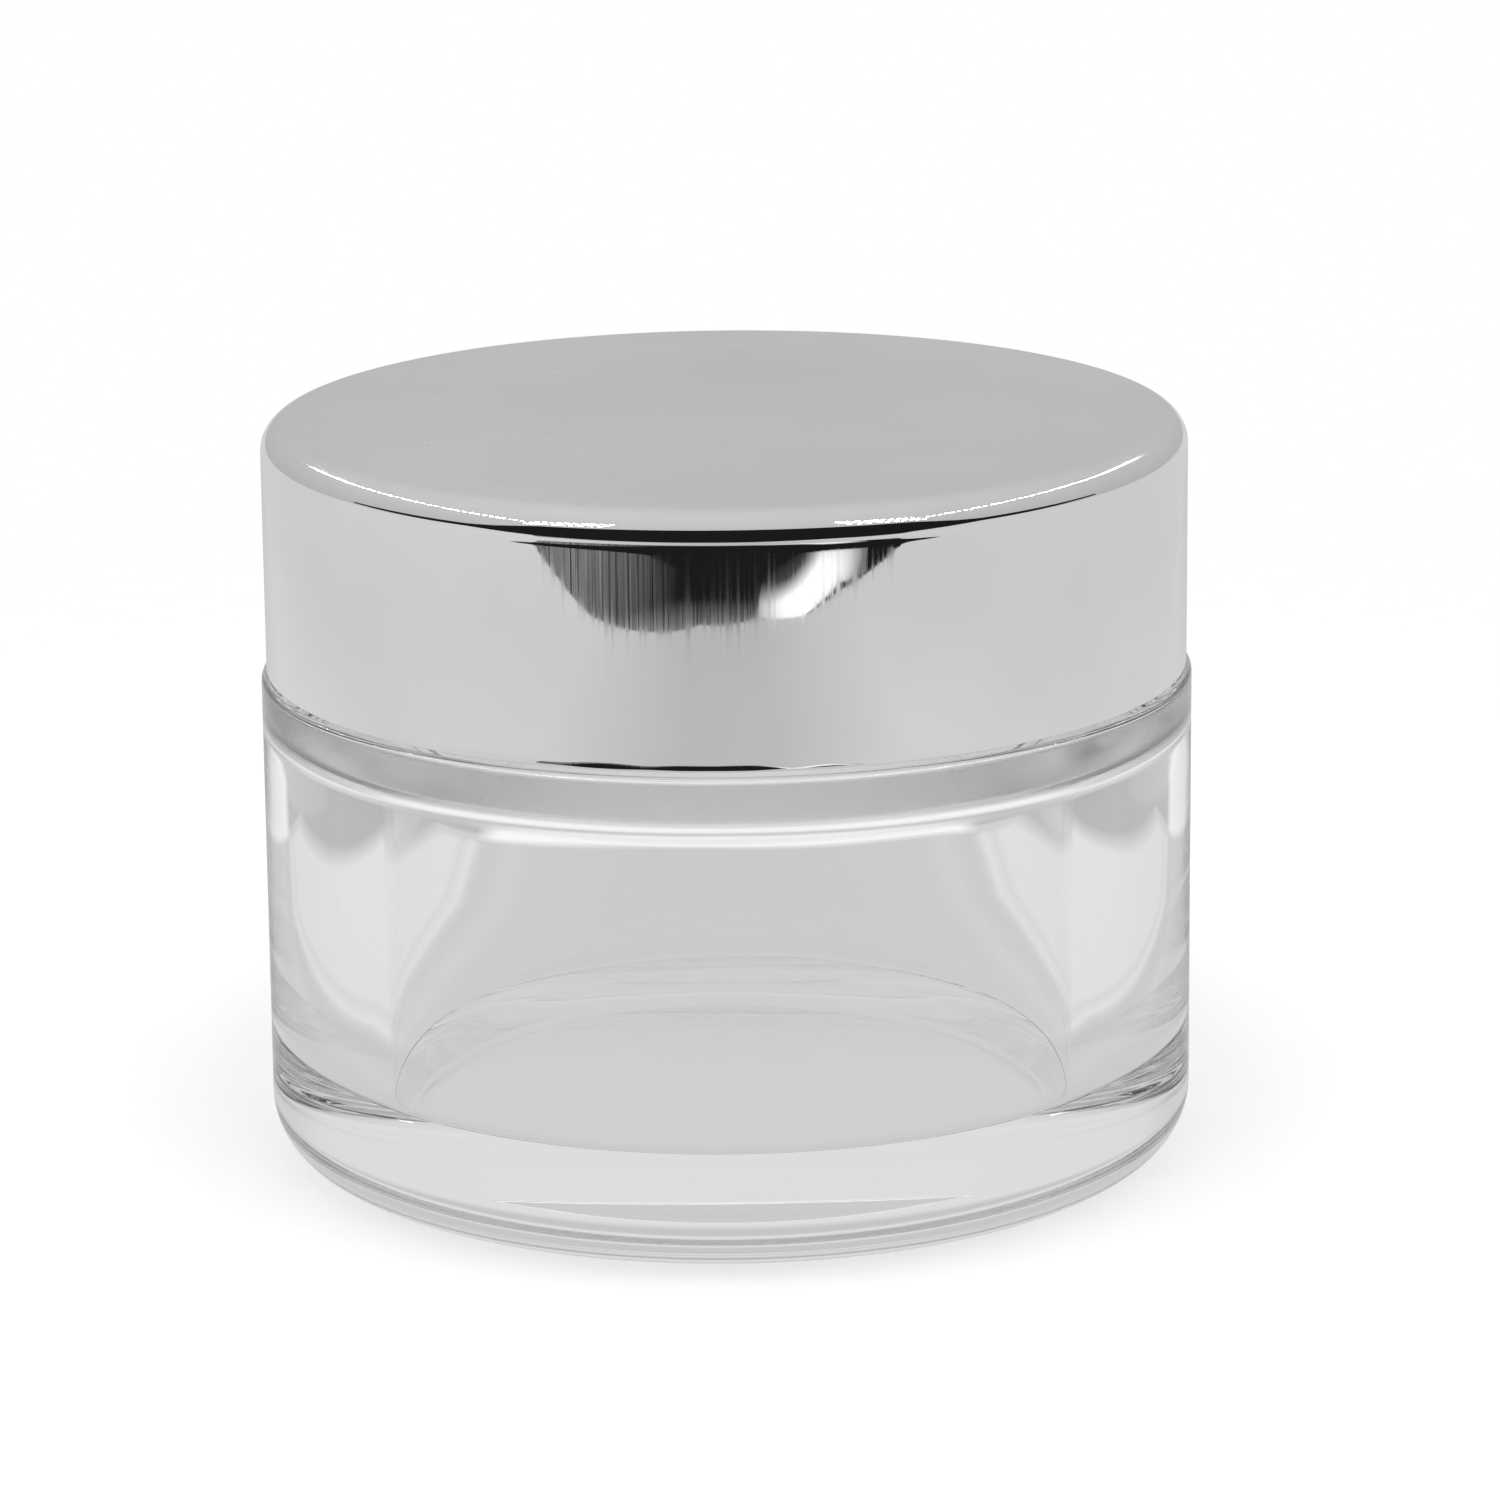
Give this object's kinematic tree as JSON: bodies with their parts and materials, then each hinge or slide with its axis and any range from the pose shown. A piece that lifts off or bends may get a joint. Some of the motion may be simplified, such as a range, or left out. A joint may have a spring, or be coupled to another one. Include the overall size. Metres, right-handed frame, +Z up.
{
  "type": "cosmetic cream jar",
  "caption": "Round clear glass cream jar with a thick base, a satin aluminium screw cap, a foam liner and a lift-out plastic sealing disc.",
  "frame": {"origin": "centre of the ring that the jar stands on, on its axis", "axes": "+Z up along the jar's axis, from the base to the cap; the jar's thread starts at +X"},
  "size_m": [0.062, 0.062, 0.0498],
  "materials": {
    "clear_glass": "clear and polished",
    "aluminium_shell": "satin top, bright side wall and edge",
    "white_plastic": "moulded, half gloss",
    "liner_foam": "fine closed-cell foam",
    "disc_plastic": "moulded, soft half gloss",
    "glue": "hot-melt glue"
  },
  "bodies": {
    "jar": {"glass_jar": "clear_glass"},
    "liner": {"cap_liner": "liner_foam"},
    "cap": {"cap_shell": "aluminium_shell", "inner_cap": "white_plastic", "glue_dots": "glue"},
    "disc": {"sealing_disc": "disc_plastic"}
  },
  "joints": [
    {"name": "cap_lift", "type": "slide", "parent": "jar", "child": "liner", "axis": [0, 0, 1], "range_m": [0, 0.0201]},
    {"name": "cap_turn", "type": "hinge", "parent": "liner", "child": "cap", "pos_m": [0, 0, 0.04], "axis": [0, 0, 1], "range_deg": [0, 1800]},
    {"name": "disc_lift", "type": "slide", "parent": "jar", "child": "disc", "axis": [0, 0, 1], "range_m": [0, 0.0051]}
  ],
  "couplings": [
    {"joint": "cap_lift", "follows": "cap_turn", "m_per_rad": 0.00063662},
    {"joint": "disc_lift", "follows": "cap_turn", "m_per_rad": 0.00015915}
  ]
}
